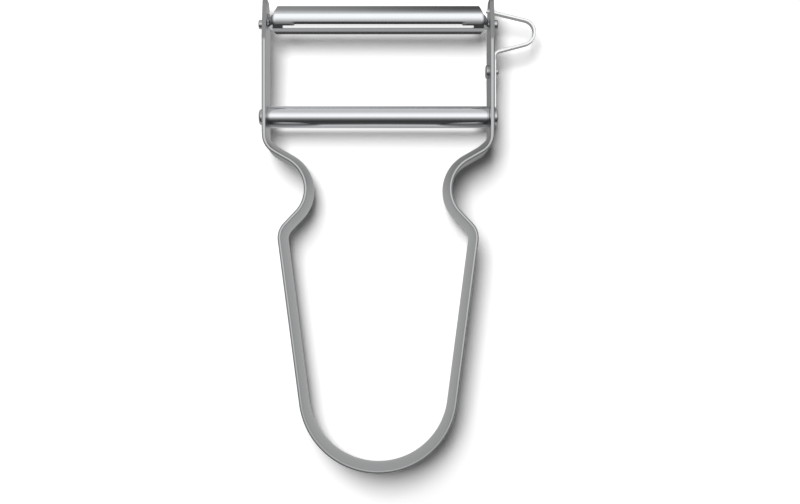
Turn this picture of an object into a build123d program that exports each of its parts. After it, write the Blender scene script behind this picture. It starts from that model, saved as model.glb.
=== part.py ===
from build123d import *
import math
import os

# A vegetable peeler of bent steel strip. The strip makes two arms, a waist and a round butt end.
# A slotted blade swivels between the arms, a crossbar spaces them, and a loop beside the blade
# digs out eyes. It lies flat: +Y points from the butt end to the blade, +X to the side with the
# loop, +Z up across the width of the strip. All lengths are millimetres.

# Strip of the bow
strip_width = 11.0
strip_thickness = 1.0
outer_edge_radius = 0.4
inner_edge_radius = 0.15
crown_height = 1.45

# Line of the bow's outer face, from the arms round to the butt end
head_width = 56.4
arm_length = 36.86
arm_bend_y = 78.4
arm_bend_radius = 5.05
waist_corner_x = 13.79
waist_corner_y = 70.11
waist_radius = 7.41
shoulder_x = 24.9
shoulder_y = 58.43
shoulder_radius = 5.46
butt_radius = 19.56

# The origin lies on the butt end's lower edge, at this share of the thickness from its outer face
rest_line_share = 0.75

# The crown begins this far above the arm bend, and is full after this length
crown_lead = 2.3
crown_run = 6.2
lead_steps = 2
bend_steps = 6

# Blanked tip of each arm
tip_taper_length = 10.5
tip_width = 6.2
tip_corner_radius = 1.6

# Blade, measured from its pivot axis: y across it, z towards its front
pivot_inset = 5.87
blade_side_play = 0.25
blade_thickness = 0.8
flange_y = 4.67
flange_drop = 3.1
front_crease_y = 2.13
front_crease_z = 2.9
flange_bulge = 0.15
cutting_edge_y = -0.47
cutting_edge_z = 2.45
front_bulge = 0.17
slot_height = 0.9
slot_end_height = 0.6
lip_root_z = 1.9
lip_fold_y = -2.16
lip_fold_z = 1.65
guard_y = -2.67
guard_z = 1.15
top_corner_inset = 1.0
crease_corner_inset = 0.25
guard_corner_inset = 0.8
guard_corner_rise = 0.7
slot_end_inset = 2.4
bevel_end_inset = 5.2
bevel_width = 0.4
bevel_depth = 0.13

# Lug at each end of the blade, folded back square to the pivot axis
lug_reach = 1.1
lug_bend_radius = 1.9
lug_half_width = 1.05
lug_shoulder_z = 2.2
lug_neck_z = 0.9
lug_back_z = -1.3
lug_corner_radius = 0.5

# Pivot pins of the blade
pivot_radius = 0.6
pivot_running_clearance = 0.05
pivot_seat_clearance = 0.02
pivot_inner_head_radius = 0.95
pivot_inner_head_height = 0.25
pivot_outer_head_radius = 1.15
pivot_outer_head_height = 1.2
pivot_head_rounding = 0.3
pivot_head_gap = 0.1

# Stop pressed out of the left arm, above the pivot hole, that the lug swings against
stop_rise = 1.98
stop_length = 1.4
stop_width = 1.0
stop_height = 0.5

# Crossbar: a sleeve between the arms on one long rivet
crossbar_rise = 8.18
sleeve_radius = 2.68
sleeve_wall = 1.08
sleeve_rim_rounding = 0.15
crossbar_rivet_radius = 1.5
crossbar_rivet_clearance = 0.05
crossbar_head_radius = 1.98
crossbar_head_height = 1.2
crossbar_dome_rounding = 0.7
crossbar_rim_rounding = 0.35
crossbar_hollow_radius = 0.95
crossbar_hollow_depth = 0.8

# Eye remover: a narrow loop of strip on the right arm. Below its shoulder the flat leg widens
# to carry the rivet
loop_width = 1.7
loop_leg_width = 4.4
loop_thickness = 0.7
loop_reach = 10.61
loop_upper_inset = 2.58
loop_nose_inset = 7.84
loop_nose_radius = 3.43
loop_lower_inset = 13.07
loop_shoulder_drop = 1.8
loop_foot_radius = 1.2
loop_leg_gap = 0.1
loop_tab_width = 1.4
loop_tab_end = 0.5
loop_tab_clearance = 0.06

# Rivet of the eye remover, at this share of the way down its flat leg
loop_rivet_share = 0.33
loop_rivet_radius = 0.8
loop_rivet_clearance = 0.04
loop_rivet_head_radius = 1.65
loop_rivet_head_height = 0.75
loop_rivet_head_rounding = 0.3
loop_rivet_peen_radius = 0.87
loop_rivet_peen_height = 0.75
loop_rivet_peen_rounding = 0.25

# How far every cutting tool runs past what it cuts
overrun = 2.0

# Places worked out from the sizes above
mid_z = strip_width / 2
arm_outer_x = head_width / 2
arm_inner_x = arm_outer_x - strip_thickness
arm_top_y = arm_bend_y + arm_length
butt_centre_y = butt_radius - strip_thickness * rest_line_share
pivot_y = arm_top_y - pivot_inset
lug_outer_x = arm_inner_x - blade_side_play
lug_inner_x = lug_outer_x - blade_thickness
lug_root_x = lug_outer_x - lug_bend_radius
blade_half_length = lug_outer_x - lug_reach
crossbar_y = arm_bend_y + crossbar_rise
leg_outer_x = arm_outer_x + loop_thickness
loop_upper_y = arm_top_y - loop_upper_inset
loop_nose_y = arm_top_y - loop_nose_inset
loop_lower_y = arm_top_y - loop_lower_inset
loop_leg_end_y = crossbar_y + crossbar_head_radius + loop_leg_gap
loop_rivet_y = loop_lower_y - (loop_lower_y - loop_leg_end_y) * loop_rivet_share


def tangent_point(point, centre, radius, side):
    """Where the line from point touches the circle, on the side given by +1 or -1."""
    dx = point[0] - centre[0]
    dy = point[1] - centre[1]
    angle = math.atan2(dy, dx) + side * math.acos(radius / math.hypot(dx, dy))
    return (centre[0] + radius * math.cos(angle), centre[1] + radius * math.sin(angle))


def mirrored(solid):
    """The same solid on the other side of the middle plane."""
    return solid.mirror(Plane.YZ)


def cylinder_x(radius, x_low, x_high, y):
    """A round bar along X at mid width, from x_low up to x_high."""
    circle = Plane(origin=(x_low, y, mid_z), z_dir=(1, 0, 0)) * Circle(radius)
    return extrude(circle, x_high - x_low)


def rounded_head(radius, height, rounding, x_low, y):
    """A rivet head on the plane x_low, standing out along +X, with its outer rim rounded."""
    head = cylinder_x(radius, x_low, x_low + height, y)
    return fillet(head.edges().sort_by(Axis.X)[-1], rounding)


# Bow

arm_corner = (arm_outer_x, arm_bend_y)
waist_corner = (waist_corner_x, waist_corner_y)
shoulder_corner = (shoulder_x, shoulder_y)
slant = (Vector(*waist_corner) - Vector(*arm_corner)).normalized()
bend_turn = math.atan2(-slant.X, -slant.Y)
bend_reach = arm_bend_radius * math.tan(bend_turn / 2)
bend_start_y = arm_bend_y + bend_reach
bend_end = Vector(*arm_corner) + slant * bend_reach


def strip_plane(point, direction):
    """Section plane across the strip: x into the bow, y up across the strip's width."""
    inward = Vector(direction.Y, -direction.X, 0)
    return Plane(origin=point, x_dir=inward, z_dir=-direction)


def strip_section(crown):
    """Section of the strip with rounded edges, its faces bulging inwards by crown."""
    low_out = (0, 0)
    low_in = (strip_thickness, 0)
    high_in = (strip_thickness, strip_width)
    high_out = (0, strip_width)
    if crown:
        inner = ThreePointArc(low_in, (strip_thickness + crown, mid_z), high_in)
        outer = ThreePointArc(high_out, (crown, mid_z), low_out)
    else:
        inner = Line(low_in, high_in)
        outer = Line(high_out, low_out)
    outline = Wire([Line(low_out, low_in), inner, Line(high_in, high_out), outer])
    face = Face(outline)
    face = fillet(face.vertices().sort_by(Axis.X)[:2], outer_edge_radius)
    return fillet(face.vertices().sort_by(Axis.X)[-2:], inner_edge_radius)


def bend_section(length):
    """Section of the strip at a length below where the crown begins, as far as the bend's end."""
    angle = max(0, length - crown_lead) / arm_bend_radius
    point = Vector(
        arm_outer_x - arm_bend_radius * (1 - math.cos(angle)),
        bend_start_y + max(0, crown_lead - length) - arm_bend_radius * math.sin(angle),
    )
    share = min(1, length / crown_run)
    crown = crown_height * share**2 * (3 - 2 * share)
    return strip_plane(point, Vector(-math.sin(angle), -math.cos(angle))) * strip_section(crown)


def make_arm_side():
    """The right arm and its bend, up to where the strip is crowned."""
    arm = extrude(bend_section(0), arm_top_y - bend_start_y - crown_lead, dir=(0, 1, 0))
    lead = loft([bend_section(crown_lead * k / lead_steps) for k in range(lead_steps + 1)])
    bend_step = arm_bend_radius * bend_turn / bend_steps
    bend = loft([bend_section(crown_lead + bend_step * k) for k in range(bend_steps + 1)])
    return arm + lead + bend


def make_grip():
    """The crowned strip from one slanted run round the waist and the butt end to the other."""
    butt_centre = (0, butt_centre_y)
    side_end = tangent_point(shoulder_corner, butt_centre, butt_radius, -1)
    right = FilletPolyline(
        bend_end, waist_corner, shoulder_corner, side_end, radius=[waist_radius, shoulder_radius]
    )
    left = right.mirror(Plane.YZ)
    butt = ThreePointArc(side_end, (0, butt_centre_y - butt_radius), (-side_end[0], side_end[1]))
    path = Wire([*right.edges(), butt, *left.edges()])
    section = strip_plane(bend_end, slant) * strip_section(crown_height)
    return sweep(section, path)


def make_tip_cut():
    """What is blanked away around the tip of the right arm."""
    taper_y = arm_top_y - tip_taper_length
    side = Plane(origin=(arm_inner_x - overrun, 0, mid_z), x_dir=(0, 1, 0), z_dir=(1, 0, 0))
    half_tip = tip_width / 2
    half_width = strip_width / 2
    keep = Polyline(
        (taper_y, -half_width), (arm_top_y, -half_tip), (arm_top_y, half_tip), (taper_y, half_width),
        close=True,
    )
    keep = make_face(keep)
    corners = keep.vertices().sort_by(Axis.X)[-2:]
    keep = fillet(corners, tip_corner_radius)
    tall = strip_width + 2 * overrun
    block = Pos(taper_y + tip_taper_length, 0) * Rectangle(2 * tip_taper_length, tall)
    return extrude(side * (block - keep), strip_thickness + 2 * overrun)


def make_stop(x_low):
    """An upright round-ended block above the pivot, as thick as the stop is high."""
    side = Plane(origin=(x_low, pivot_y + stop_rise, mid_z), x_dir=(0, 1, 0), z_dir=(1, 0, 0))
    return extrude(side * SlotOverall(stop_length, stop_width), stop_height)


def make_bow():
    """The whole bent strip with its holes, its stop and the slot for the eye remover's tab."""
    side = make_arm_side() - make_tip_cut()
    hole_low = arm_inner_x - overrun
    hole_high = arm_outer_x + overrun
    side -= cylinder_x(pivot_radius + pivot_running_clearance, hole_low, hole_high, pivot_y)
    side -= cylinder_x(
        crossbar_rivet_radius + crossbar_rivet_clearance, hole_low, hole_high, crossbar_y)
    left = side - make_stop(arm_outer_x - stop_height) + make_stop(arm_inner_x - stop_height)
    right = side - cylinder_x(
        loop_rivet_radius + loop_rivet_clearance, hole_low, hole_high, loop_rivet_y)
    right -= make_loop_tab(loop_tab_clearance, hole_low, hole_high)
    return make_grip() + mirrored(left) + right


# Blade

def blade_place(x):
    """Plane across the blade at x: y across the blade, z to its front, from the pivot axis."""
    return Plane(origin=(x, pivot_y, mid_z), x_dir=(0, 1, 0), z_dir=(1, 0, 0))


def bulged_line(start, end, bulge):
    """Arc from start to end that stands out from its chord by bulge, to the front."""
    run = Vector(*end) - Vector(*start)
    outward = Vector(run.Y, -run.X).normalized()
    return ThreePointArc(start, (Vector(*start) + Vector(*end)) / 2 + outward * bulge, end)


def blade_front():
    """Front line of the blade's section, from the flange's edge down to the guard's edge."""
    flange_edge = (flange_y, front_crease_z - flange_drop)
    crease = (front_crease_y, front_crease_z)
    edge = (cutting_edge_y, cutting_edge_z)
    lip_root = (cutting_edge_y - slot_height, lip_root_z)
    return (
        bulged_line(flange_edge, crease, flange_bulge) + bulged_line(crease, edge, front_bulge)
        + Polyline(edge, lip_root, (lip_fold_y, lip_fold_z), (guard_y, guard_z))
    )


def make_channel():
    """The blade's sheet between its lugs, trimmed to its outline seen from the front."""
    sheet = Wire(blade_front().edges()).offset_2d(
        blade_thickness, kind=Kind.INTERSECTION, side=Side.LEFT, closed=True)
    channel = extrude(blade_place(-blade_half_length) * Face(sheet), 2 * blade_half_length, dir=(1, 0, 0))
    half = Polyline(
        (0, flange_y + overrun), (blade_half_length - top_corner_inset, flange_y + overrun),
        (blade_half_length - top_corner_inset, flange_y),
        (blade_half_length - crease_corner_inset, front_crease_y),
        (lug_root_x, front_crease_y), (lug_root_x, cutting_edge_y),
        (blade_half_length, cutting_edge_y), (blade_half_length, guard_y + guard_corner_rise),
        (blade_half_length - guard_corner_inset, guard_y),
        (blade_half_length - guard_corner_inset, guard_y - overrun), (0, guard_y - overrun),
        close=True,
    )
    half = Pos(0, pivot_y, 0) * make_face(half)
    outline = extrude(half + half.mirror(Plane.YZ), strip_width, dir=(0, 0, 1))
    return channel & outline


def make_lug():
    """The right lug: the end of the front face folded back, then cut to its outline."""
    fold = FilletPolyline(
        (lug_root_x - overrun, front_crease_z), (lug_outer_x, front_crease_z),
        (lug_outer_x, lug_back_z - lug_bend_radius), radius=lug_bend_radius,
    )
    strip = Wire(fold.edges()).offset_2d(
        blade_thickness, kind=Kind.INTERSECTION, side=Side.RIGHT, closed=True)
    fall = Vector(0, cutting_edge_y - front_crease_y, cutting_edge_z - front_crease_z)
    start = Vector(0, pivot_y + front_crease_y, mid_z) - fall
    fold_plane = Plane(origin=start, x_dir=(1, 0, 0), z_dir=(0, -1, 0))
    folded = extrude(fold_plane * Face(strip), fall.length * 3, dir=fall)
    side = Polyline(
        (front_crease_y, front_crease_z + overrun), (front_crease_y, front_crease_z),
        (lug_half_width, lug_shoulder_z), (lug_half_width, lug_back_z),
        (-lug_half_width, lug_back_z), (-lug_half_width, lug_neck_z),
        (cutting_edge_y, cutting_edge_z), (cutting_edge_y, front_crease_z + overrun),
        close=True,
    )
    side = make_face(side)
    side = fillet(side.vertices().sort_by(Axis.Y)[:2], lug_corner_radius)
    lug = folded & extrude(blade_place(lug_root_x) * side, lug_bend_radius, dir=(1, 0, 0))
    return lug - cylinder_x(
        pivot_radius + pivot_seat_clearance, lug_root_x - overrun, lug_outer_x + overrun, pivot_y)


def make_blade():
    """The gutter-shaped blade with its folded lugs, its slot and the ground cutting edge.

    The slot is punched narrow, and between its ends grinding takes its upper side back."""
    lug = make_lug()
    blade = make_channel() + lug + mirrored(lug)
    bevel_half_length = blade_half_length - bevel_end_inset
    slot_bottom_y = pivot_y + cutting_edge_y - slot_height
    slot = Pos(0, slot_bottom_y + slot_end_height / 2) * SlotOverall(
        2 * (blade_half_length - slot_end_inset), slot_end_height)
    ground = Pos(0, slot_bottom_y + slot_height / 2) * Rectangle(2 * bevel_half_length, slot_height)
    blade -= extrude(slot, strip_width) + extrude(ground, strip_width)
    bevel = Polyline(
        (cutting_edge_y + bevel_width, cutting_edge_z + overrun),
        (cutting_edge_y + bevel_width, cutting_edge_z + bevel_depth),
        (cutting_edge_y, cutting_edge_z - bevel_depth),
        (cutting_edge_y, cutting_edge_z + overrun),
        close=True,
    )
    return blade - extrude(blade_place(-bevel_half_length) * make_face(bevel), 2 * bevel_half_length)


def make_pivot():
    """The right pivot pin: its shank fills the lug and runs in the arm, between two heads."""
    head_x = arm_outer_x + pivot_head_gap
    pin = cylinder_x(pivot_radius, lug_inner_x, head_x, pivot_y)
    pin += cylinder_x(
        pivot_inner_head_radius, lug_inner_x - pivot_inner_head_height, lug_inner_x, pivot_y)
    return pin + rounded_head(
        pivot_outer_head_radius, pivot_outer_head_height, pivot_head_rounding, head_x, pivot_y)


# Crossbar

def make_crossbar_sleeve():
    """The polished tube that keeps the arms apart."""
    sleeve = cylinder_x(sleeve_radius, -arm_inner_x, arm_inner_x, crossbar_y)
    sleeve = fillet(sleeve.edges().filter_by(GeomType.CIRCLE), sleeve_rim_rounding)
    return sleeve - cylinder_x(
        sleeve_radius - sleeve_wall, -arm_inner_x - overrun, arm_inner_x + overrun, crossbar_y)


def make_crossbar_rivet():
    """The long rivet through arms and sleeve: domed head at the left, hollow end at the right."""
    shank = cylinder_x(crossbar_rivet_radius, -arm_outer_x, arm_outer_x, crossbar_y)
    dome = mirrored(rounded_head(
        crossbar_head_radius, crossbar_head_height, crossbar_dome_rounding, arm_outer_x, crossbar_y))
    rolled = rounded_head(
        crossbar_head_radius, crossbar_head_height, crossbar_rim_rounding, arm_outer_x, crossbar_y)
    end_x = arm_outer_x + crossbar_head_height
    hollow = cylinder_x(
        crossbar_hollow_radius, end_x - crossbar_hollow_depth, end_x + overrun, crossbar_y)
    return shank + dome + rolled - hollow


# Eye remover

def loop_upper_direction():
    """Direction of the loop's upper leg, from the arm out to where it meets the round nose."""
    start = (arm_outer_x, loop_upper_y)
    nose_centre = (arm_outer_x + loop_reach - loop_nose_radius, loop_nose_y)
    end = tangent_point(start, nose_centre, loop_nose_radius, -1)
    return Vector(*start), Vector(*end)


def make_loop_tab(clearance, x_low, x_high):
    """The tab at the end of the upper leg, in line with it, or the slot that it passes."""
    start, end = loop_upper_direction()
    slope = (end.Y - start.Y) / (end.X - start.X)
    rise = loop_thickness * math.hypot(1, slope)
    low_y = start.Y + slope * (x_low - start.X)
    high_y = start.Y + slope * (x_high - start.X)
    outline = Polyline(
        (x_low, low_y + clearance), (x_high, high_y + clearance),
        (x_high, high_y - rise - clearance), (x_low, low_y - rise - clearance),
        close=True,
    )
    width = loop_tab_width + 2 * clearance
    return extrude(Pos(0, 0, mid_z - width / 2) * make_face(outline), width, dir=(0, 0, 1))


def make_eye_remover():
    """The loop of thin strip: tab in the arm, upper leg, round nose, lower leg and flat leg."""
    start, upper_end = loop_upper_direction()
    nose_centre_x = arm_outer_x + loop_reach - loop_nose_radius
    foot = (leg_outer_x, loop_lower_y)
    lower_start = tangent_point(foot, (nose_centre_x, loop_nose_y), loop_nose_radius, 1)
    outer = (
        Line(start, upper_end)
        + ThreePointArc(upper_end, (nose_centre_x + loop_nose_radius, loop_nose_y), lower_start)
        + FilletPolyline(lower_start, foot, (leg_outer_x, loop_leg_end_y), radius=loop_foot_radius)
    )
    strip = Wire(outer.edges()).offset_2d(
        loop_thickness, kind=Kind.INTERSECTION, side=Side.RIGHT, closed=True)
    loop = extrude(Pos(0, 0, mid_z - loop_leg_width / 2) * Face(strip), loop_leg_width, dir=(0, 0, 1))
    shoulder_y = loop_lower_y - loop_shoulder_drop
    trim = (loop_leg_width - loop_width) / 2
    side_cut = Box(
        4 * loop_reach, loop_lower_inset * 2, trim, align=(Align.CENTER, Align.MIN, Align.MIN))
    loop -= Pos(arm_outer_x, shoulder_y, mid_z + loop_width / 2) * side_cut
    loop -= Pos(arm_outer_x, shoulder_y, mid_z - loop_leg_width / 2) * side_cut
    loop += make_loop_tab(0, arm_outer_x, arm_outer_x + loop_thickness)
    beside = Pos(arm_outer_x - overrun / 2, loop_upper_y, mid_z) * Box(overrun, overrun, strip_width)
    loop = loop - beside + make_loop_tab(0, arm_inner_x - loop_tab_end, arm_outer_x)
    return loop - cylinder_x(
        loop_rivet_radius + loop_rivet_clearance, arm_inner_x, leg_outer_x + overrun, loop_rivet_y)


def make_eye_remover_rivet():
    """The rivet that holds the loop's flat leg: head inside the arm, peened end outside."""
    shank = cylinder_x(loop_rivet_radius, arm_inner_x, leg_outer_x, loop_rivet_y)
    head = mirrored(rounded_head(
        loop_rivet_head_radius, loop_rivet_head_height, loop_rivet_head_rounding,
        -arm_inner_x, loop_rivet_y))
    peened = rounded_head(
        loop_rivet_peen_radius, loop_rivet_peen_height, loop_rivet_peen_rounding,
        leg_outer_x, loop_rivet_y)
    return shank + head + peened


# Parts

right_pivot = make_pivot()
parts = {
    "bow": make_bow(),
    "blade": make_blade(),
    "blade_pivot_left": mirrored(right_pivot),
    "blade_pivot_right": right_pivot,
    "crossbar_sleeve": make_crossbar_sleeve(),
    "crossbar_rivet": make_crossbar_rivet(),
    "eye_remover": make_eye_remover(),
    "eye_remover_rivet": make_eye_remover_rivet(),
}

os.makedirs("parts", exist_ok=True)
for name, solid in parts.items():
    export_step(solid, f"parts/{name}.step")
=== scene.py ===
import math

import bpy
import numpy as np
from mathutils import Matrix, Vector


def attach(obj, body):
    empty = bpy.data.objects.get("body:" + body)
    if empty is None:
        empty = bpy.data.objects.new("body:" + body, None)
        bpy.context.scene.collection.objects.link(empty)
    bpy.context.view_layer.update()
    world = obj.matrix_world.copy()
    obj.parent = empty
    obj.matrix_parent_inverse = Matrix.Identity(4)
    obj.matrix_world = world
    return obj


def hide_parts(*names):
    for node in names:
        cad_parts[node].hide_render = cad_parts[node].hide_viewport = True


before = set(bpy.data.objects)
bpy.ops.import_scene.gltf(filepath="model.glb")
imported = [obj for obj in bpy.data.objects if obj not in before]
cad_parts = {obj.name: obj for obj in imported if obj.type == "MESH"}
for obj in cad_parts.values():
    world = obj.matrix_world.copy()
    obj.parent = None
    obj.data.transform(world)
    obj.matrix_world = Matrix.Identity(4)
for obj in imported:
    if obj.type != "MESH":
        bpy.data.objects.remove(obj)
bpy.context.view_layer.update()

# Bow: one strip of cold-rolled steel, 11 mm wide and 1 mm thick, blanked to length and bent over
# formers into two arms, a waist and a round butt end. The grip is rolled hollow on its outside,
# the arms stay flat, and their tips are sheared to a taper. Sizes are in millimetres.
strip_width = 11.0
strip_thickness = 1.0
mid_z = strip_width / 2
arm_outer_x = 28.2
arm_inner_x = arm_outer_x - strip_thickness
arm_top_y = 115.26
arm_bend = (arm_outer_x, 78.4)
arm_bend_radius = 5.05
waist = (13.79, 70.11)
waist_radius = 7.41
shoulder = (24.9, 58.43)
shoulder_radius = 5.46
butt_radius = 19.56
rest_line_share = 0.75
butt_bottom_y = -rest_line_share * strip_thickness
crown_height = 1.45
crown_lead = 2.3
crown_run = 6.2
outer_edge_radius = 0.4
inner_edge_radius = 0.15
sheared_edge_radius = 0.05
sheared_end_blend = (-0.3, 0.1)
tip_taper_length = 10.5
tip_width = 6.2
tip_corner_radius = 1.6
pivot_drop = 5.87
pivot_y = arm_top_y - pivot_drop
stop_rise = 1.98
stop_y = pivot_y + stop_rise
stop_half_straight = 0.2
stop_radius = 0.5
stop_height = 0.5
stop_wall = 0.14
strip_colour = (0.565, 0.575, 0.58)
strip_roughness = 0.30
sheared_colour = (0.47, 0.475, 0.475)
sheared_roughness = 0.62


def heading_vector(angle):
    """Unit vector (cos a, sin a)."""
    return np.array([np.cos(angle), np.sin(angle)])


def rounded_line(corners, radii, run_steps=1, arc_steps=8):
    """Points along straight runs joined by tangent arcs, each run and arc cut in equal steps.

    Where the line turns by an angle a, the arc of radius r starts r * tan(|a| / 2) before the
    corner, and its points are centre + r * s * (sin h, -cos h), with s the sign of the turn and
    h the heading, which goes evenly from the run before to the run after."""
    corners = np.array(corners, dtype=float)
    runs = np.diff(corners, axis=0)
    headings = np.arctan2(runs[:, 1], runs[:, 0])
    run_steps = np.broadcast_to(run_steps, len(runs))
    arc_steps = np.broadcast_to(arc_steps, len(radii))
    start = corners[0]
    stretches = []
    for k, (corner, radius) in enumerate(zip(corners[1:-1], radii)):
        before, after = headings[k], headings[k + 1]
        turn = (after - before + np.pi) % (2 * np.pi) - np.pi
        reach = radius * math.tan(abs(turn) / 2)
        arc_start = corner - reach * heading_vector(before)
        side = math.copysign(1, turn)
        centre = arc_start + side * radius * heading_vector(before + np.pi / 2)
        stretches.append(np.linspace(start, arc_start, run_steps[k], endpoint=False))
        heading = before + np.linspace(0, turn, arc_steps[k], endpoint=False)
        stretches.append(centre + side * radius * np.stack([np.sin(heading), -np.cos(heading)], axis=1))
        start = corner + reach * heading_vector(after)
    stretches.append(np.linspace(start, corners[-1], run_steps[-1] + 1))
    return np.concatenate(stretches)


def line_lengths(points):
    """Length along a line of points, from its first point to each point."""
    return np.concatenate([[0.0], np.cumsum(np.linalg.norm(np.diff(points, axis=0), axis=1))])


def smooth_step(low, high, value):
    """0 below low, 1 above high, and 3t^2 - 2t^3 between, with t the share of the way."""
    t = np.clip((value - low) / (high - low), 0, 1)
    return t * t * (3 - 2 * t)


def tangent_heading(point, centre, radius, side):
    """Heading of the line from a point that touches a circle, on the side given by +1 or -1."""
    across = np.subtract(centre, point)
    distance = np.hypot(*across)
    return math.atan2(across[1], across[0]) + side * math.asin(radius / distance)


def crossing(point_a, heading_a, point_b, heading_b):
    """Where two lines cross, each given by a point and a heading."""
    a, b = heading_vector(heading_a), heading_vector(heading_b)
    reach = np.linalg.solve(np.stack([a, -b], axis=1), np.subtract(point_b, point_a))[0]
    return np.array(point_a) + reach * a


def bow_line():
    """Outer line of the right half: arm, bend, waist, shoulder and a quarter of the butt end."""
    butt_centre = (0.0, butt_bottom_y + butt_radius)
    down = tangent_heading(shoulder, butt_centre, butt_radius, 1)
    butt_corner = crossing(shoulder, down, (0.0, butt_bottom_y), math.pi)
    corners = [(arm_outer_x, arm_top_y), arm_bend, waist, shoulder, butt_corner, (0.0, butt_bottom_y)]
    radii = [arm_bend_radius, waist_radius, shoulder_radius, butt_radius]
    return rounded_line(corners, radii, run_steps=200, arc_steps=300)


def bow_stations(line):
    """Lengths along the half line at which a section stands: close together at the tip's rounded
    corner and round the stop, and from the flat arm on as the bends need."""
    stop_s = arm_top_y - stop_y
    stop_reach = 1.0
    flat_arm_s = 36.0
    return np.unique(np.concatenate([
        tip_corner_radius * (1 - np.cos(np.linspace(0, np.pi / 2, 14))),
        np.linspace(stop_s - stop_reach, stop_s + stop_reach, 27),
        np.linspace(tip_corner_radius, flat_arm_s, 50)[1:],
        np.linspace(flat_arm_s, line_lengths(line)[-1], 230),
    ]))


def strip_width_at(s):
    """Width of the strip at a length s below the tip: its rounded corners, its taper, then full."""
    taper = tip_width + (strip_width - tip_width) * np.clip(s / tip_taper_length, 0, 1)
    short = np.clip(tip_corner_radius - s, 0, None)
    return taper - 2 * (tip_corner_radius - np.sqrt(tip_corner_radius**2 - short**2))


def strip_sections(crown, width, outer_radius, inner_radius):
    """Section of the strip at every station, as a loop of (u into the bow, z from mid width).

    Both faces bulge into the bow as u = crown * (1 - (2z / width)^2). Where a face meets the flat
    edge at an angle c, the corner is an arc of radius r that starts r / tan(c / 2) from it. The
    points on the faces stand closest in the middle, where the stop is pressed."""
    crown, width, outer_radius, inner_radius = (
        np.asarray(v)[:, None] for v in (crown, width, outer_radius, inner_radius))
    half = width / 2
    lean = np.arctan(4 * crown / width)
    turn = np.linspace(0, 1, 6)[None, :]
    reach_in = inner_radius / np.tan((np.pi / 2 + lean) / 2)
    angle = -np.pi / 2 + turn * (np.pi / 2 - lean)
    in_u = strip_thickness - reach_in + inner_radius * np.cos(angle)
    in_z = inner_radius + inner_radius * np.sin(angle) - half
    reach_out = outer_radius / np.tan((np.pi / 2 - lean) / 2)
    angle = np.pi - lean + turn * (np.pi / 2 + lean)
    out_u = reach_out + outer_radius * np.cos(angle)
    out_z = outer_radius + outer_radius * np.sin(angle) - half
    stop_share = 0.22
    shares = np.concatenate([np.linspace(-1, 1, 23), np.linspace(-stop_share, stop_share, 19)])
    across = np.unique(shares)[None, 1:-1]
    face_in_z = across * (-in_z[:, -1:])
    face_in_u = strip_thickness + crown * (1 - (face_in_z / half) ** 2)
    face_out_z = across[:, ::-1] * (-out_z[:, :1])
    face_out_u = crown * (1 - (face_out_z / half) ** 2)
    u = np.concatenate([in_u, face_in_u, in_u[:, ::-1], out_u[:, ::-1], face_out_u, out_u], axis=1)
    z = np.concatenate([in_z, face_in_z, -in_z[:, ::-1], -out_z[:, ::-1], face_out_z, out_z], axis=1)
    return u, z


def swept_strip(line, stations, u, z):
    """Rings of points where sections stand along a line: point + u * (normal to the right of the
    way) and mid_z + z."""
    lengths = line_lengths(line)
    nudge = 0.02
    at, ahead, behind = (
        np.stack([np.interp(stations + shift, lengths, line[:, k]) for k in (0, 1)], axis=1)
        for shift in (0.0, nudge, -nudge))
    way = ahead - behind
    way /= np.linalg.norm(way, axis=1)[:, None]
    normal = np.stack([way[:, 1], -way[:, 0]], axis=1)
    flat = at[:, None, :] + u[:, :, None] * normal[:, None, :]
    return np.concatenate([flat, (mid_z + z)[:, :, None]], axis=2)


def tube(rings, closed=False):
    """Vertices and faces of a tube: quads between neighbouring rings, each a closed loop of points.
    A flat face shuts each end, unless the tube is closed on itself."""
    count, points = rings.shape[:2]
    ring, point = np.meshgrid(np.arange(count if closed else count - 1), np.arange(points), indexing="ij")
    next_ring, next_point = (ring + 1) % count, (point + 1) % points
    quads = np.stack([
        ring * points + point, next_ring * points + point,
        next_ring * points + next_point, ring * points + next_point], axis=-1)
    faces = quads.reshape(-1, 4).tolist()
    if not closed:
        last = (count - 1) * points
        faces += [list(range(points))[::-1], list(range(last, last + points))]
    return rings.reshape(-1, 3), faces


def tube_uv(lengths, rounds):
    """Texture places of a tube's quads, as quads times corners: length along, and length around."""
    ring, point = np.meshgrid(np.arange(len(lengths) - 1), np.arange(len(rounds) - 1), indexing="ij")
    along = np.stack([ring, ring + 1, ring + 1, ring], axis=-1).reshape(-1, 4)
    around = np.stack([point, point, point + 1, point + 1], axis=-1).reshape(-1, 4)
    return np.stack([lengths[along], rounds[around]], axis=2)


def signed_volume(vertices, faces):
    """Sum over fans of a . (b x c) / 6, which is negative where the faces point inwards."""
    fans = [(f[0], f[k], f[k + 1]) for f in faces for k in range(1, len(f) - 1)]
    a, b, c = np.moveaxis(np.asarray(vertices)[np.array(fans)], 1, 0)
    return float(np.einsum("ij,ij->", a, np.cross(b, c)) / 6)


def make_piece(name, vertices, faces, body, material, nodes, uv=None):
    """A closed mesh from millimetre vertices, shown in place of its CAD nodes and riding on body.
    Edges that turn by more than the sharp angle stay crisp."""
    sharp_angle = 32
    if signed_volume(vertices, faces) < 0:
        faces = [face[::-1] for face in faces]
        uv = None if uv is None else uv[:, ::-1]
    mesh = bpy.data.meshes.new(name)
    mesh.from_pydata(np.asarray(vertices) * 0.001, [], faces)
    if uv is not None:
        layer = mesh.uv_layers.new(name="along_the_strip")
        places = np.zeros((len(mesh.loops), 2))
        places[:4 * len(uv)] = uv.reshape(-1, 2)
        layer.data.foreach_set("uv", places.ravel())
    mesh.validate()
    mesh.shade_smooth()
    mesh.set_sharp_from_angle(angle=math.radians(sharp_angle))
    mesh.materials.append(material)
    piece = bpy.data.objects.new(name, mesh)
    bpy.context.collection.objects.link(piece)
    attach(piece, body)
    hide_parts(*nodes)


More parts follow.
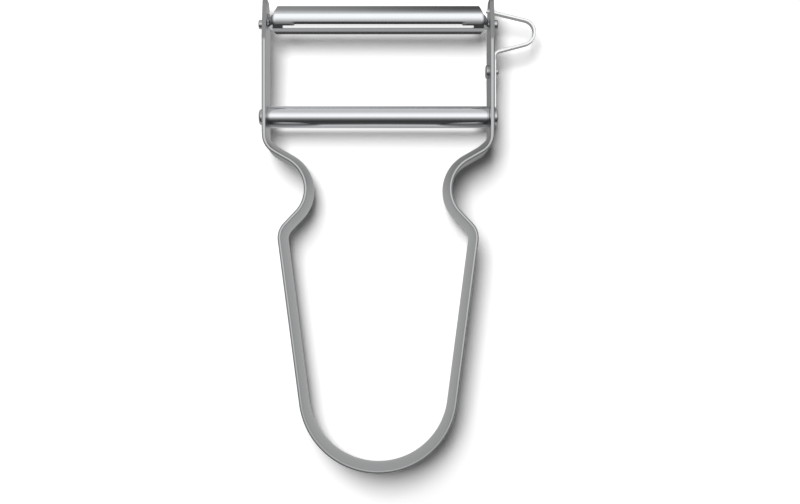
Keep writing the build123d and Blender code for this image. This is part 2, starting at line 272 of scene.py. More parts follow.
class Socket:
    """An output socket of a shader tree. Arithmetic on it adds Math nodes, node() adds any other
    node, and ["name"] is another output of the same node. A tree starts from Socket(tree)."""

    def __init__(self, tree, output=None):
        self.tree = tree
        self.output = output

    def __getitem__(self, name):
        return Socket(self.tree, self.output.node.outputs[name])

    def node(self, kind, settings=None, inputs=None, output=0):
        """A new node, as its output. Its settings are made first, a ramp's stops among them, and
        then each input, given by name or place, takes a value or a link."""
        node = self.tree.nodes.new(kind)
        for name, value in (settings or {}).items():
            if name == "stops":
                set_stops(node.color_ramp.elements, value)
            else:
                setattr(node, name, value)
        for key, value in (inputs or {}).items():
            if isinstance(value, Socket):
                self.tree.links.new(value.output, node.inputs[key])
            else:
                node.inputs[key].default_value = value
        return Socket(self.tree, node.outputs[output] if node.outputs else None)

    def math(self, operation, *values):
        """A Math node on numbers and sockets."""
        return self.node("ShaderNodeMath", {"operation": operation}, dict(enumerate(values)))

    def step(self, low, high, first=0.0, last=1.0):
        """From first to last as the value goes from low to high, by 3t^2 - 2t^3."""
        return self.node("ShaderNodeMapRange", {"interpolation_type": "SMOOTHSTEP"}, {
            "Value": self, "From Min": low, "From Max": high, "To Min": first, "To Max": last})

    def __add__(self, other):
        return self.math("ADD", self, other)

    def __radd__(self, other):
        return self.math("ADD", other, self)

    def __sub__(self, other):
        return self.math("SUBTRACT", self, other)

    def __rsub__(self, other):
        return self.math("SUBTRACT", other, self)

    def __mul__(self, other):
        return self.math("MULTIPLY", self, other)

    def __rmul__(self, other):
        return self.math("MULTIPLY", other, self)

    def __abs__(self):
        return self.math("ABSOLUTE", self)


def set_stops(elements, stops):
    """Gives a ramp its stops, each a place from 0 to 1 and a grey level."""
    while len(elements) > 1:
        elements.remove(elements[-1])
    elements[0].position = stops[0][0]
    for place, _ in stops[1:]:
        elements.new(place)
    for element, (_, level) in zip(elements, stops):
        element.color = (level, level, level, 1)


def sheared_share(start, places):
    """1 on the sheared edges of the arms' tips and 0 elsewhere: above the foot of the taper, and
    the less the more a face looks sideways."""
    foot = arm_top_y - tip_taper_length
    blend = 0.4
    height = start.node("ShaderNodeSeparateXYZ", None, {"Vector": places["Object"]}, "Y")
    normal = start.node("ShaderNodeNewGeometry")["Normal"]
    sideways = abs(start.node("ShaderNodeSeparateXYZ", None, {"Vector": normal}, "X"))
    return height.step((foot - blend) * 0.001, (foot + blend) * 0.001) * (1 - sideways)


def steel(name, colour, roughness, grain_scale, grain_depth=0.03, grain_stretch=(1.0, 1.0, 1.0),
          stain=0.05, from_uv=False, sheared=None):
    """Bare steel. Fine drawn grain, a noise stretched the way the piece was drawn, changes its
    roughness and its height, and grain and soft clouds darken its colour by about the share stain.
    Where sheared, a colour and a roughness, is given, the sheared tips have those instead."""
    grain_in_roughness, clouds_in_roughness = 0.08, 0.04
    grain_in_stain = 0.6
    material = bpy.data.materials.new(name)
    material.use_nodes = True
    tree = material.node_tree
    tree.nodes.clear()
    start = Socket(tree)
    places = start.node("ShaderNodeTexCoord")
    stretched = start.node("ShaderNodeMapping", None, {
        "Vector": places["UV" if from_uv else "Object"], "Scale": grain_stretch})
    grain = start.node("ShaderNodeTexNoise", None, {
        "Vector": stretched, "Scale": grain_scale, "Detail": 3.0, "Roughness": 0.6}, "Fac")
    clouds = start.node("ShaderNodeTexNoise", None, {
        "Vector": places["Object"], "Scale": 220.0, "Detail": 4.0, "Roughness": 0.55}, "Fac")
    mean_change = (grain_in_roughness + clouds_in_roughness) / 2
    rough = roughness - mean_change + grain_in_roughness * grain + clouds_in_roughness * clouds
    shade = (1 - stain) + stain * clouds + (grain - 0.5) * (stain * grain_in_stain)
    grey = start.node("ShaderNodeCombineColor", None, {"Red": shade, "Green": shade, "Blue": shade})
    base = start.node("ShaderNodeMix", {"data_type": "RGBA", "blend_type": "MULTIPLY"},
                      {"Factor": 1.0, "A": (*colour, 1), "B": grey}, "Result")
    if sheared is not None:
        tip_colour, tip_roughness = sheared
        tip = sheared_share(start, places)
        rough = rough + (tip_roughness - roughness) * tip
        base = start.node("ShaderNodeMix", {"data_type": "RGBA"},
                          {"Factor": tip, "A": base, "B": (*tip_colour, 1)}, "Result")
    bump = start.node("ShaderNodeBump", None, {"Height": grain, "Strength": grain_depth, "Distance": 0.0001})
    shader = start.node("ShaderNodeBsdfPrincipled", None, {
        "Base Color": base, "Metallic": 1.0, "Roughness": rough, "Normal": bump})
    start.node("ShaderNodeOutputMaterial", None, {"Surface": shader})
    return material


def bow_mesh():
    """Vertices, faces and texture places of the whole strip.

    The sections of the right half stand along its line, and the left half mirrors them. Round the
    stop on the left arm both faces are pushed inwards by stop_height, falling off over stop_wall
    outside a round-ended outline. The texture places are true lengths, those round the strip
    being taken from a station on the flat arm."""
    line = bow_line()
    s = bow_stations(line)
    bend_turn = math.atan2(arm_outer_x - waist[0], arm_bend[1] - waist[1])
    crown_start = arm_top_y - arm_bend[1] - arm_bend_radius * math.tan(bend_turn / 2) - crown_lead
    crown = crown_height * smooth_step(crown_start, crown_start + crown_run, s)
    sheared = 1 - smooth_step(*(tip_taper_length + np.array(sheared_end_blend)), s)
    outer = outer_edge_radius + (sheared_edge_radius - outer_edge_radius) * sheared
    inner = inner_edge_radius + (sheared_edge_radius - inner_edge_radius) * sheared
    right = swept_strip(line, s, *strip_sections(crown, strip_width_at(s), outer, inner))
    beyond = np.hypot(
        np.clip(np.abs(right[:, :, 1] - stop_y) - stop_half_straight, 0, None), right[:, :, 2] - mid_z)
    push = stop_height * (1 - smooth_step(stop_radius - stop_wall, stop_radius + stop_wall / 2, beyond))
    left = right * np.array([-1, 1, 1])
    left[:, :, 0] += push
    along = np.concatenate([s, 2 * s[-1] - s[-2::-1]]) * 0.001
    flat_station = 60
    section = right[flat_station]
    around = line_lengths(np.concatenate([section, section[:1]])) * 0.001
    vertices, faces = tube(np.concatenate([right, left[-2::-1]]))
    return vertices, faces, tube_uv(along, around)


bow_steel = steel("strip_steel", strip_colour, strip_roughness, grain_scale=9000.0,
                  grain_stretch=(0.02, 1.0, 1.0), from_uv=True, sheared=(sheared_colour, sheared_roughness))
vertices, faces, uv = bow_mesh()
make_piece("bow_strip", vertices, faces, "bow_body", bow_steel, ["bow"], uv)

# Crossbar sleeve: polished drawn tube, 5.4 mm across, cut square with its rims broken. It sits
# between the arms, which the long rivet pulls against its ends.
crossbar_rise = 8.18
crossbar_y = arm_bend[1] + crossbar_rise
sleeve_radius = 2.68
sleeve_bore = 1.6
sleeve_rim = 0.15
sleeve_colour = (0.86, 0.875, 0.90)
sleeve_roughness = 0.13


def turned(profile, y, closed=False, segments=96):
    """A profile of (x, radius) turned about the X line at height y and mid width.

    Point (i, j) is (x_i, y + r_i cos t_j, mid_z + r_i sin t_j). An open profile is shut by a flat
    face at each end, and a closed one makes a ring."""
    x, radius = np.asarray(profile, dtype=float).T
    t = np.linspace(0, 2 * np.pi, segments, endpoint=False)
    rings = np.stack([
        np.broadcast_to(x[:, None], (len(x), segments)),
        y + radius[:, None] * np.cos(t), mid_z + radius[:, None] * np.sin(t)], axis=2)
    return tube(rings, closed)


sleeve_steel = steel("sleeve_steel", sleeve_colour, sleeve_roughness, grain_scale=5000.0, grain_depth=0.02,
                     grain_stretch=(0.02, 1.0, 1.0), stain=0.03)
half_profile = rounded_line(
    [(0, sleeve_radius), (arm_inner_x, sleeve_radius), (arm_inner_x, sleeve_bore), (0, sleeve_bore)],
    [sleeve_rim, sleeve_rim / 2])
whole_profile = np.concatenate([half_profile, (half_profile * [-1, 1])[-2:0:-1]])
vertices, faces = turned(whole_profile, crossbar_y, closed=True)
make_piece("crossbar_tube", vertices, faces, "bow_body", sleeve_steel, ["crossbar_sleeve"])

# Crossbar rivet: soft steel wire, 3 mm thick, run through both arms and the sleeve. Its left end
# is a low dome, and its right end is hollow and rolled over.
rivet_radius = 1.5
rivet_head_radius = 1.98
rivet_head_height = 1.2
rivet_dome_rounding = 0.7
rivet_rim_rounding = 0.35
rivet_seat_rounding = 0.05
rivet_hollow_radius = 0.95
rivet_hollow_depth = 0.8
rivet_hollow_lip = 0.25
rivet_hollow_corner = 0.2
rivet_flat_radius = 0.2
rivet_colour = (0.66, 0.67, 0.68)
rivet_roughness = 0.27


def crossbar_rivet_profile():
    """Profile of the rivet as (x, radius), from the dome's flat middle to the hollow's floor."""
    head_x = arm_outer_x + rivet_head_height
    floor_x = head_x - rivet_hollow_depth
    dome = rounded_line(
        [(-head_x, rivet_flat_radius), (-head_x, rivet_head_radius), (-arm_outer_x, rivet_head_radius),
         (-arm_outer_x, rivet_radius)],
        [rivet_dome_rounding, rivet_seat_rounding])
    rolled = rounded_line(
        [(arm_outer_x, rivet_radius), (arm_outer_x, rivet_head_radius), (head_x, rivet_head_radius),
         (head_x, rivet_hollow_radius), (floor_x, rivet_hollow_radius), (floor_x, rivet_flat_radius)],
        [rivet_seat_rounding, rivet_rim_rounding, rivet_hollow_lip, rivet_hollow_corner])
    return np.concatenate([dome, rolled])


rivet_steel = steel("rivet_steel", rivet_colour, rivet_roughness, grain_scale=2500.0, grain_depth=0.05)
vertices, faces = turned(crossbar_rivet_profile(), crossbar_y)
make_piece("crossbar_long_rivet", vertices, faces, "bow_body", rivet_steel,
           ["crossbar_rivet"])

# Blade: hardened sheet 0.8 mm thick, pressed to a gutter with a steep rear flange, a polished
# front face and a guard lip below the slot. The slot's upper side is ground to the cutting edge,
# and the face's ends are folded back into lugs, in which the pivot pins sit.
blade_thickness = 0.8
lug_play = 0.25
lug_outer_x = arm_inner_x - lug_play
lug_bend_radius = 1.9
lug_root_x = lug_outer_x - lug_bend_radius
gutter_end_inset = 1.1
blade_half_length = lug_outer_x - gutter_end_inset
flange = (4.67, -0.2)
crease = (2.13, 2.9)
cutting_edge = (-0.47, 2.45)
flange_bulge = 0.15
front_bulge = 0.17
slot_height = 0.9
slot_end_height = 0.6
lip_root = (cutting_edge[0] - slot_height, 1.9)
lip_fold = (-2.16, 1.65)
guard = (-2.67, 1.15)
front_bend_radii = [0.3, 0.25, 0.4, 0.25]
back_bend_radii = [0.05, 0.25, 0.25, 0.05]
slot_end_inset = 2.4
slot_half_length = blade_half_length - slot_end_inset
bevel_end_inset = 5.2
bevel_half_length = blade_half_length - bevel_end_inset
bevel_width = 0.4
bevel_depth = 0.13
bevel_run_out = 0.3
lug_half_width = 1.05
lug_shoulder_z = 2.2
lug_neck_z = 0.9
lug_back_z = -1.3
lug_corner_radius = 0.5
top_corner_inset = 1.0
crease_corner_inset = 0.25
guard_corner_inset = 0.8
guard_corner_rise = 0.7
lug_edge_inset = 0.1
lip_end_inset = 0.15
blade_colour = (0.86, 0.88, 0.90)
blade_roughness = 0.14


def offset_corners(corners, distance):
    """Corners of a line moved to its right: corner + d (n1 + n2) / (1 + n1 . n2), with n1 and n2
    the right-hand normals of the runs that meet there."""
    corners = np.array(corners, dtype=float)
    runs = np.diff(corners, axis=0)
    runs /= np.linalg.norm(runs, axis=1)[:, None]
    normals = np.stack([runs[:, 1], -runs[:, 0]], axis=1)
    before = np.concatenate([normals[:1], normals])
    after = np.concatenate([normals, normals[-1:]])
    mitre = (before + after) / (1 + np.sum(before * after, axis=1))[:, None]
    return corners + distance * mitre


def bulged(points, start, end, bulge):
    """Points of the chord from start to end moved out to the front by 4 b t (1 - t), where t is
    each point's share of the way along the chord."""
    chord = np.subtract(end, start)
    share = np.clip((points - start) @ chord / (chord @ chord), 0, 1)
    outward = np.array([chord[1], -chord[0]]) / np.linalg.norm(chord)
    return points + (4 * bulge * share * (1 - share))[:, None] * outward


def blade_section(depth):
    """Line of the gutter at a depth behind its front, from flange to guard, as (y, z). It turns at
    crease, cutting edge, lip root and lip fold, by bend radii that the front and the back have of
    their own, and the runs on both sides of the crease bulge."""
    corners = offset_corners([flange, crease, cutting_edge, lip_root, lip_fold, guard], -depth)
    radii = front_bend_radii if depth == 0 else back_bend_radii
    line = rounded_line(corners, radii, run_steps=[16, 24, 6, 4, 4], arc_steps=6)
    line = bulged(line, corners[0], corners[1], flange_bulge)
    return bulged(line, corners[1], corners[2], front_bulge)


def lug_edge_y(z, side):
    """Outline of the lug seen from its side: y at the height z, on the crease's side (+1), where
    it narrows to the shoulder, or on the cutting edge's side (-1), where it narrows to the neck.
    The two lower corners are arcs."""
    high = np.interp(z, [lug_back_z, lug_shoulder_z, crease[1]], [lug_half_width, lug_half_width, crease[0]])
    low = np.interp(z, [lug_back_z, lug_neck_z, cutting_edge[1]],
                    [-lug_half_width, -lug_half_width, cutting_edge[0]])
    short = np.clip(lug_corner_radius - (z - lug_back_z), 0, lug_corner_radius)
    rounding = lug_corner_radius - np.sqrt(lug_corner_radius**2 - short**2)
    return high - rounding if side > 0 else low + rounding


def blade_columns():
    """Shares of the half length at which columns stand: close at the ends and the ground step."""
    step = bevel_half_length / blade_half_length
    near_step = step + bevel_run_out / blade_half_length * np.linspace(-1, 1, 7)
    end_share = 0.86
    half = np.concatenate([np.linspace(0, 1, 25), np.linspace(end_share, 1, 22), near_step])
    return np.unique(np.round(np.concatenate([-half, half]), 5))


def blade_middle(depth):
    """The gutter from end to end: rows across it times columns along it.

    Each row ends at the outline seen from the front. Near the slot's ends the columns bend to
    follow them, by r - sqrt(r^2 - d^2) at the height d from the slot's middle, with r half its
    height there, and this fades out above and below the slot and to its left and right."""
    line = blade_section(depth)
    row_y = blade_section(0)[:, 0]
    outline = np.array([
        (guard[0], blade_half_length - guard_corner_inset),
        (guard[0] + guard_corner_rise, blade_half_length),
        (cutting_edge[0] - lip_end_inset, blade_half_length),
        (cutting_edge[0] + lug_edge_inset, lug_root_x),
        (crease[0] - 2 * lug_edge_inset, lug_root_x),
        (crease[0] - lug_edge_inset, blade_half_length - crease_corner_inset),
        (flange[0], blade_half_length - top_corner_inset)])
    x = blade_columns()[None, :] * np.interp(row_y, *outline.T)[:, None]
    radius = slot_end_height / 2
    fade_height, fade_length = 1.0, 1.5
    off = np.abs(row_y - (lip_root[0] + radius))
    pull = radius - np.sqrt(radius**2 - np.clip(off, 0, radius) ** 2)
    fade = 1 - np.clip((off - radius) / fade_height, 0, 1)
    near = np.clip(1 - np.abs(np.abs(x) - slot_half_length) / fade_length, 0, 1)
    x = x - np.sign(x) * near * (pull * fade)[:, None]
    y, z = (np.repeat(line[:, k:k + 1], x.shape[1], axis=1) for k in (0, 1))
    return x, y, z


def grind(x, y, z):
    """The front ground to a bevel: z = edge - b + 2 b (y - edge) / w where that is lower, between
    the ends of the ground length and from just below the cutting edge up."""
    overrun = 0.3
    bevel = cutting_edge[1] - bevel_depth + 2 * bevel_depth * (y - cutting_edge[0]) / bevel_width
    ground = 1 - smooth_step(bevel_half_length - bevel_run_out, bevel_half_length, np.abs(x))
    return z - np.clip(z - bevel, 0, None) * ground * (y > cutting_edge[0] - overrun)


def fold_columns(depth):
    """The lug's columns on the right, the face's rows carried round the fold: x = root + r sin a
    and z = face - R + r cos a, with r = R - depth, then straight down to the lug's end."""
    front = blade_section(0)
    radius = lug_bend_radius
    inner = radius - depth
    angle = np.linspace(0, np.pi / 2, 13)[1:]
    down = np.linspace(0, 1, 15)[1:]
    face = front[:, 1:]
    z_run = (face - radius) * (1 - down) + lug_back_z * down
    z_outline = np.concatenate([face - radius * (1 - np.cos(angle)), z_run], axis=1)
    z = np.concatenate([face - radius + inner * np.cos(angle), z_run], axis=1)
    x = np.concatenate([lug_root_x + inner * np.sin(angle), np.full(len(down), lug_root_x + inner)])
    share = np.clip((front[:, :1] - crease[0]) / (cutting_edge[0] - crease[0]), 0, 1)
    y = lug_edge_y(z_outline, 1) * (1 - share) + lug_edge_y(z_outline, -1) * share
    return np.broadcast_to(x, z.shape), y, z


def blade_grid(depth):
    """Middle columns with the folds of both ends joined on, the left as the right's mirror image,
    as an array of points in the object's place."""
    middle = blade_middle(depth)
    fold = fold_columns(depth)
    joined = [np.concatenate([sign * f[:, ::-1], m, f], axis=1)
              for sign, m, f in zip((-1, 1, 1), middle, fold)]
    if depth == 0:
        joined[2] = grind(*joined)
    return np.stack(joined, axis=2) + np.array([0, pivot_y, mid_z])


def sheet_mesh(front, back, keep):
    """A sheet with a front and a back grid: the kept quads of both, and a rim that joins the
    edges which only one kept quad has."""
    rows, columns = front.shape[:2]
    row, column = np.meshgrid(np.arange(rows - 1), np.arange(columns - 1), indexing="ij")
    quads = np.stack([row * columns + column, row * columns + column + 1,
                      (row + 1) * columns + column + 1, (row + 1) * columns + column], axis=-1)[keep]
    edges = np.stack([quads, np.roll(quads, -1, axis=1)], axis=-1).reshape(-1, 2)
    keys = np.sort(edges, axis=1)
    unique, index, count = np.unique(keys, axis=0, return_index=True, return_counts=True)
    rim = edges[index[count == 1]]
    total = rows * columns
    rim_quads = np.stack([rim[:, 1], rim[:, 0], rim[:, 0] + total, rim[:, 1] + total], axis=1)
    faces = np.concatenate([quads, quads[:, ::-1] + total, rim_quads])
    used, faces = np.unique(faces, return_inverse=True)
    vertices = np.concatenate([front.reshape(-1, 3), back.reshape(-1, 3)])[used]
    return vertices, faces.reshape(-1, 4).tolist()


def blade_mesh():
    """The whole blade. Its front and back grids lose the quads that stand for the slot, which is
    higher along the ground length, and those beyond the face's ends that aren't lug."""
    front = blade_grid(0)
    back = blade_grid(blade_thickness)
    line_y = blade_section(0)[:, 0]
    row_y = (line_y[:-1] + line_y[1:]) / 2
    fold = fold_columns(0)[0].shape[1]
    column_x = np.full(front.shape[1], blade_half_length)
    column_x[fold:-fold] = np.abs(blade_columns()) * blade_half_length
    column_x = (column_x[:-1] + column_x[1:]) / 2
    keep = np.zeros((len(row_y), len(column_x)), dtype=bool)
    keep[:, fold:-fold] = True
    keep[(row_y < crease[0] - lug_edge_inset) & (row_y > cutting_edge[0])] = True
    in_slot = (row_y < lip_root[0] + slot_end_height) & (row_y > lip_root[0])
    in_ground = (row_y < cutting_edge[0]) & (row_y > lip_root[0])
    keep[np.ix_(in_slot, column_x < slot_half_length)] = False
    keep[np.ix_(in_ground, column_x < bevel_half_length)] = False
    return sheet_mesh(front, back, keep)


blade_steel = steel("blade_steel", blade_colour, blade_roughness, grain_scale=3000.0, grain_depth=0.02,
                    grain_stretch=(0.05, 1.0, 1.0), stain=0.03)
vertices, faces = blade_mesh()
make_piece("blade_gutter", vertices, faces, "blade_body", blade_steel, ["blade"])

# Pivot pins: two short steel rivets through the lugs and the arms. Each is riveted over inside the
# lug, and its outer head stands a little off the arm, so that the blade swivels freely.
pivot_radius = 0.6
pivot_inner_head_radius = 0.95
pivot_inner_head_height = 0.25
pivot_inner_head_rounding = 0.15
pivot_outer_head_radius = 1.15
pivot_outer_head_height = 1.2
pivot_outer_head_rounding = 0.3
pivot_outer_head_rim = 0.05
pivot_head_gap = 0.1
pivot_fillet = 0.03
pivot_flat_radius = 0.1
pin_segments = 48


def pivot_profile(side):
    """Profile of the right pin (side +1) or the left (side -1), from its inner head outwards."""
    lug_inner_x = lug_outer_x - blade_thickness
    inner_x = lug_inner_x - pivot_inner_head_height
    head_x = arm_outer_x + pivot_head_gap
    end_x = head_x + pivot_outer_head_height
    profile = rounded_line(
        [(inner_x, pivot_flat_radius), (inner_x, pivot_inner_head_radius),
         (lug_inner_x, pivot_inner_head_radius), (lug_inner_x, pivot_radius), (head_x, pivot_radius),
         (head_x, pivot_outer_head_radius), (end_x, pivot_outer_head_radius), (end_x, pivot_flat_radius)],
        [pivot_inner_head_rounding, pivot_fillet, pivot_fillet, pivot_fillet, pivot_outer_head_rim,
         pivot_outer_head_rounding])
    return profile * [side, 1]


for side, word in ((-1, "left"), (1, "right")):
    vertices, faces = turned(pivot_profile(side), pivot_y, segments=pin_segments)
    make_piece(f"pivot_pin_{word}", vertices, faces, "blade_body", rivet_steel,
               [f"blade_pivot_{word}"])

# Eye remover: a narrow loop of steel strip, bent to a rounded point. A tab at its upper end passes
# through a slot in the right arm, and its lower end widens to a flat leg under a rivet.
loop_width = 1.9
loop_leg_width = 4.4
loop_thickness = 0.7
loop_reach = 10.605
loop_upper_drop = 2.58
loop_nose_drop = 7.84
loop_lower_drop = 13.07
loop_shoulder_drop = 1.8
loop_upper_y = arm_top_y - loop_upper_drop
loop_nose_y = arm_top_y - loop_nose_drop
loop_lower_y = arm_top_y - loop_lower_drop
loop_shoulder_y = loop_lower_y - loop_shoulder_drop
loop_nose_radius = 3.43
loop_foot_radius = 1.2
loop_leg_gap = 0.1
loop_tab_width = 1.4
loop_tab_end = 0.5
loop_edge_rounding = 0.12
leg_outer_x = arm_outer_x + loop_thickness
loop_leg_end_y = crossbar_y + rivet_head_radius + loop_leg_gap
loop_colour = (0.93, 0.94, 0.945)
loop_roughness = 0.26


def loop_line():
    """Outer line of the loop: tab, upper leg, round nose, lower leg, foot and flat leg."""
    nose_centre = (arm_outer_x + loop_reach - loop_nose_radius, loop_nose_y)
    start = (arm_outer_x, loop_upper_y)
    foot = (leg_outer_x, loop_lower_y)
    out = tangent_heading(start, nose_centre, loop_nose_radius, 1)
    back = tangent_heading(foot, nose_centre, loop_nose_radius, -1)
    nose = crossing(start, out, foot, back)
    tab_start = np.array(start) - heading_vector(out) * (strip_thickness + loop_tab_end) / math.cos(out)
    corners = [tab_start, nose, foot, (leg_outer_x, loop_leg_end_y)]
    return rounded_line(corners, [loop_nose_radius, loop_foot_radius], run_steps=200, arc_steps=100)


def loop_mesh():
    """The loop's strip: a rectangle with rounded edges, widest in the leg and narrowest in the tab.
    At each change of width two stations stand close together."""
    line = loop_line()
    length = line_lengths(line)[-1]
    way = line[1] - line[0]
    tab = (strip_thickness + loop_tab_end) * np.hypot(*way) / way[0]
    shoulder = length - (loop_shoulder_y - loop_leg_end_y)
    changes = np.array([tab, shoulder])
    nudge, first_gap = 0.02, 0.1
    stations = np.unique(np.concatenate([
        [0], changes - nudge, changes + nudge, np.linspace(tab + first_gap, length, 200)]))
    width = np.where(stations < tab, loop_tab_width, loop_width)
    width = np.where(stations < shoulder, width, loop_leg_width)
    r = loop_edge_rounding
    quarter = np.linspace(0, np.pi / 2, 5)
    angle = (np.array([np.pi, 1.5 * np.pi, 0, 0.5 * np.pi])[:, None] + quarter).ravel()
    u = np.repeat([r, loop_thickness - r, loop_thickness - r, r], 5) + r * np.cos(angle)
    side = np.repeat([-1, -1, 1, 1], 5)
    z = side[None, :] * (width[:, None] / 2 - r) + r * np.sin(angle)[None, :]
    return tube(swept_strip(line, stations, np.broadcast_to(u, z.shape), z))


loop_steel = steel("loop_steel", loop_colour, loop_roughness, grain_scale=2500.0, grain_depth=0.04)
vertices, faces = loop_mesh()
make_piece("eye_loop", vertices, faces, "bow_body", loop_steel, ["eye_remover"])

# Rivet of the eye remover: a small steel rivet through the arm and the loop's flat leg. Its wide
# head lies inside the arm and its end is peened over outside.
loop_rivet_radius = 0.8
loop_rivet_head_radius = 1.65
loop_rivet_head_height = 0.75
loop_rivet_head_rounding = 0.3
loop_rivet_peen_radius = 0.87
loop_rivet_peen_height = 0.75
loop_rivet_peen_rounding = 0.25
loop_rivet_fillet = 0.03
loop_rivet_peen_fillet = 0.02
loop_rivet_flat_radius = 0.1
loop_rivet_share = 0.33
loop_rivet_y = loop_lower_y - loop_rivet_share * (loop_lower_y - loop_leg_end_y)


def loop_rivet_profile():
    """Profile of the small rivet as (x, radius), from its inner head to its peened end."""
    inner_x = arm_inner_x - loop_rivet_head_height
    outer_x = leg_outer_x + loop_rivet_peen_height
    return rounded_line(
        [(inner_x, loop_rivet_flat_radius), (inner_x, loop_rivet_head_radius),
         (arm_inner_x, loop_rivet_head_radius), (arm_inner_x, loop_rivet_radius),
         (leg_outer_x, loop_rivet_radius), (leg_outer_x, loop_rivet_peen_radius),
         (outer_x, loop_rivet_peen_radius), (outer_x, loop_rivet_flat_radius)],
        [loop_rivet_head_rounding, loop_rivet_fillet, loop_rivet_fillet, loop_rivet_peen_fillet,
         loop_rivet_peen_fillet, loop_rivet_peen_rounding])


vertices, faces = turned(loop_rivet_profile(), loop_rivet_y, segments=pin_segments)
make_piece("eye_loop_rivet", vertices, faces, "bow_body", rivet_steel, ["eye_remover_rivet"])

# Floor, which is no part of the object: white card, which gives the camera more than its light
# back, so that only shadows fall below white. A painted glint, light painted on the card, has a
# place, a spread and a level. What metal mirrors, a painted reflection that the card shows to
# mirror rays only, goes from one level to another between two places, all in millimetres.
card_half = 1.5
card_drop = 2e-5
card_white = 1.3
card_unseen_white = 0.8
# Painted glints: light painted on the card where the crossbar and the blade would throw it.
crossbar_glint = (84.6, 0.9, 0.9)
blade_glint = (109.7, 2.0, 0.92)
glint_ends = (23.0, 27.0)
# Painted reflection: grey levels that the card shows to mirror rays only.
mirror_past_head = (114.0, 119.0, 0.43, 0.2)
mirror_far_off = (122.0, 165.0, 0.0, 0.4)
mirror_at_grip = (62.0, 80.0, 0.15, 0.0)
mirror_lean_starts = (70.0, 85.0)
mirror_lean = (-28.0, 28.0, 0.08, -0.12)


def grey_light(start, level):
    """Plain white light of a level from 0 to 1, as the mix of none and full, because only the
    share of a mix may change over a surface."""
    none, full = (start.node("ShaderNodeEmission", None, {"Strength": s}) for s in (0.0, 1.0))
    return start.node("ShaderNodeMixShader", None, {0: level, 1: none, 2: full})


def card_material():
    """The camera sees white card, with painted glints, light painted on the card where the polished
    crossbar and blade would throw light down between the arms: level * exp(-(d / spread)^2) at a
    distance d along Y. Metal mirrors a grey that the card shows to mirror rays only, a painted
    reflection that changes along Y and, from the waist to the head, leans from left to right. Other
    light meets plain white card."""
    material = bpy.data.materials.new("white_card")
    material.use_nodes = True
    tree = material.node_tree
    tree.nodes.clear()
    start = Socket(tree)
    object_place = start.node("ShaderNodeTexCoord")["Object"]
    place = start.node("ShaderNodeSeparateXYZ", None, {"Vector": object_place})
    x, y = place["X"] * 1000, place["Y"] * 1000

    def glint(centre, spread, level):
        off = (y - centre) * (1 / spread)
        return level * start.math("EXPONENT", -1 * off * off)

    # Painted glints, light painted on the card below the crossbar and the blade, only between the arms.
    painted_glints = abs(x).step(*glint_ends, 1.0, 0.0) * (glint(*crossbar_glint) + glint(*blade_glint))
    level = y.step(*mirror_past_head) + y.step(*mirror_far_off) + y.step(*mirror_at_grip)
    level = level + y.step(*mirror_lean_starts) * x.step(*mirror_lean)
    seen, unseen = (start.node("ShaderNodeBsdfDiffuse", None, {"Color": (white, white, white, 1)})
                    for white in (card_white, card_unseen_white))
    full = start.node("ShaderNodeEmission", None, {"Strength": 1.0})
    glinting = start.node("ShaderNodeMixShader", None, {0: painted_glints, 1: seen, 2: full})
    path = start.node("ShaderNodeLightPath")
    # For mirror rays the card glows a painted grey, a painted reflection; other rays meet plain card.
    hidden = start.node("ShaderNodeMixShader", None, {
        0: path["Is Glossy Ray"], 1: unseen, 2: grey_light(start, level)})
    surface = start.node("ShaderNodeMixShader", None, {0: path["Is Camera Ray"], 1: hidden, 2: glinting})
    start.node("ShaderNodeOutputMaterial", None, {"Surface": surface})
    return material


card_mesh = bpy.data.meshes.new("white_card")
card_mesh.from_pydata([(-card_half, -card_half, -card_drop), (card_half, -card_half, -card_drop),
                       (card_half, card_half, -card_drop), (-card_half, card_half, -card_drop)],
                      [], [(0, 1, 2, 3)])
card_mesh.materials.append(card_material())
card = bpy.data.objects.new("white_card", card_mesh)
bpy.context.collection.objects.link(card)

# Studio sky: what metal mirrors, as levels by the angle in degrees from straight up towards the
# head (positive) and towards the user (negative). It is bright overhead, dark towards the user
# and fainter to the left and right.
sky_levels = [
    (-180, 0.3), (-120, 0.2), (-90, 0.115), (-75, 0.07), (-60, 0.042), (-48, 0.045), (-35, 0.12),
    (-23, 0.30), (-12, 0.68), (0, 1.08), (12, 1.12), (23, 1.0), (35, 0.77), (48, 0.61), (61, 0.57),
    (75, 0.62), (90, 0.64), (130, 0.5), (180, 0.3)]
sky_side_fade = (0.3, 0.8, 1.0, 0.3)
ambient_level = 0.05


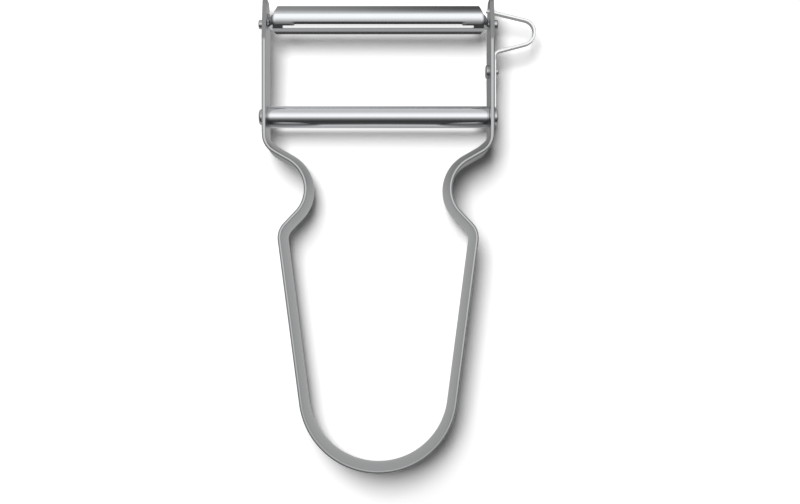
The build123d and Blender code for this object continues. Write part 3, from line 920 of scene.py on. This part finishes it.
def studio_sky():
    """The sky: white to the camera, sky_levels to a mirror ray that comes straight from a piece,
    and ambient_level to every other ray."""
    world = bpy.data.worlds.new("studio")
    bpy.context.scene.world = world
    world.use_nodes = True
    world.cycles.sampling_method = "NONE"
    tree = world.node_tree
    tree.nodes.clear()
    start = Socket(tree)
    direction = start.node("ShaderNodeTexCoord")["Generated"]
    split = start.node("ShaderNodeSeparateXYZ", None, {"Vector": direction})
    turns = start.math("ARCTAN2", split["Y"], split["Z"]) * (0.5 / math.pi) + 0.5
    stops = [(angle / 360 + 0.5, level) for angle, level in sky_levels]
    overhead = start.node("ShaderNodeValToRGB", {"stops": stops}, {"Fac": turns})
    mirrored = overhead * abs(split["X"]).step(*sky_side_fade)
    path = start.node("ShaderNodeLightPath")
    seen = path["Is Camera Ray"]
    direct = path["Is Glossy Ray"] * (1 - start.math("GREATER_THAN", path["Diffuse Depth"], 0.5))
    level = seen + (1 - seen) * (direct * mirrored + (1 - direct) * ambient_level)
    background = start.node("ShaderNodeBackground", None, {"Color": (1, 1, 1, 1), "Strength": level})
    start.node("ShaderNodeOutputWorld", None, {"Surface": background})


studio_sky()

# Lamps and camera: a large soft lamp above and a weaker one beyond the head, which throw the
# shadows down and to the right, and a camera 262 mm above the floor that looks straight down.
lamp_aim = (0.0, 0.06, 0.0)
camera_place = (0.001894, 0.043957, 0.262)


def soft_box(name, toward, width, height, level):
    """A soft lamp one metre away in the given direction, with its width along X, facing lamp_aim.
    White card there gives back the light level: a lamp of power P gives P cos(a) / pi^2 at a
    metre, with a the angle from straight up. Metal doesn't mirror the lamp."""
    lamp = bpy.data.lights.new(name, "AREA")
    lamp.shape = "RECTANGLE"
    lamp.size = width
    lamp.size_y = height
    away = Vector(toward).normalized()
    lamp.energy = level * math.pi**2 / away.z
    box = bpy.data.objects.new(name, lamp)
    box.location = Vector(lamp_aim) + away
    up = away.cross(Vector((1, 0, 0))).normalized()
    box.rotation_mode = "QUATERNION"
    box.rotation_quaternion = Matrix((up.cross(away), up, away)).transposed().to_quaternion()
    box.visible_glossy = False
    bpy.context.collection.objects.link(box)


soft_box("key_box", (-0.24, 0.36, 1.0), 0.5, 0.65, 0.85)
soft_box("low_box", (-0.5, 1.5, 1.0), 0.9, 0.4, 0.12)

camera_data = bpy.data.cameras.new("camera")
camera_data.lens = 46.8
camera_data.sensor_width = 36
camera_data.shift_x = 0.0175
camera_data.shift_y = 0.0475
camera_data.clip_start = 0.01
camera = bpy.data.objects.new("camera", camera_data)
camera.location = camera_place
bpy.context.collection.objects.link(camera)
bpy.context.scene.camera = camera
bpy.context.scene.view_settings.view_transform = "Standard"
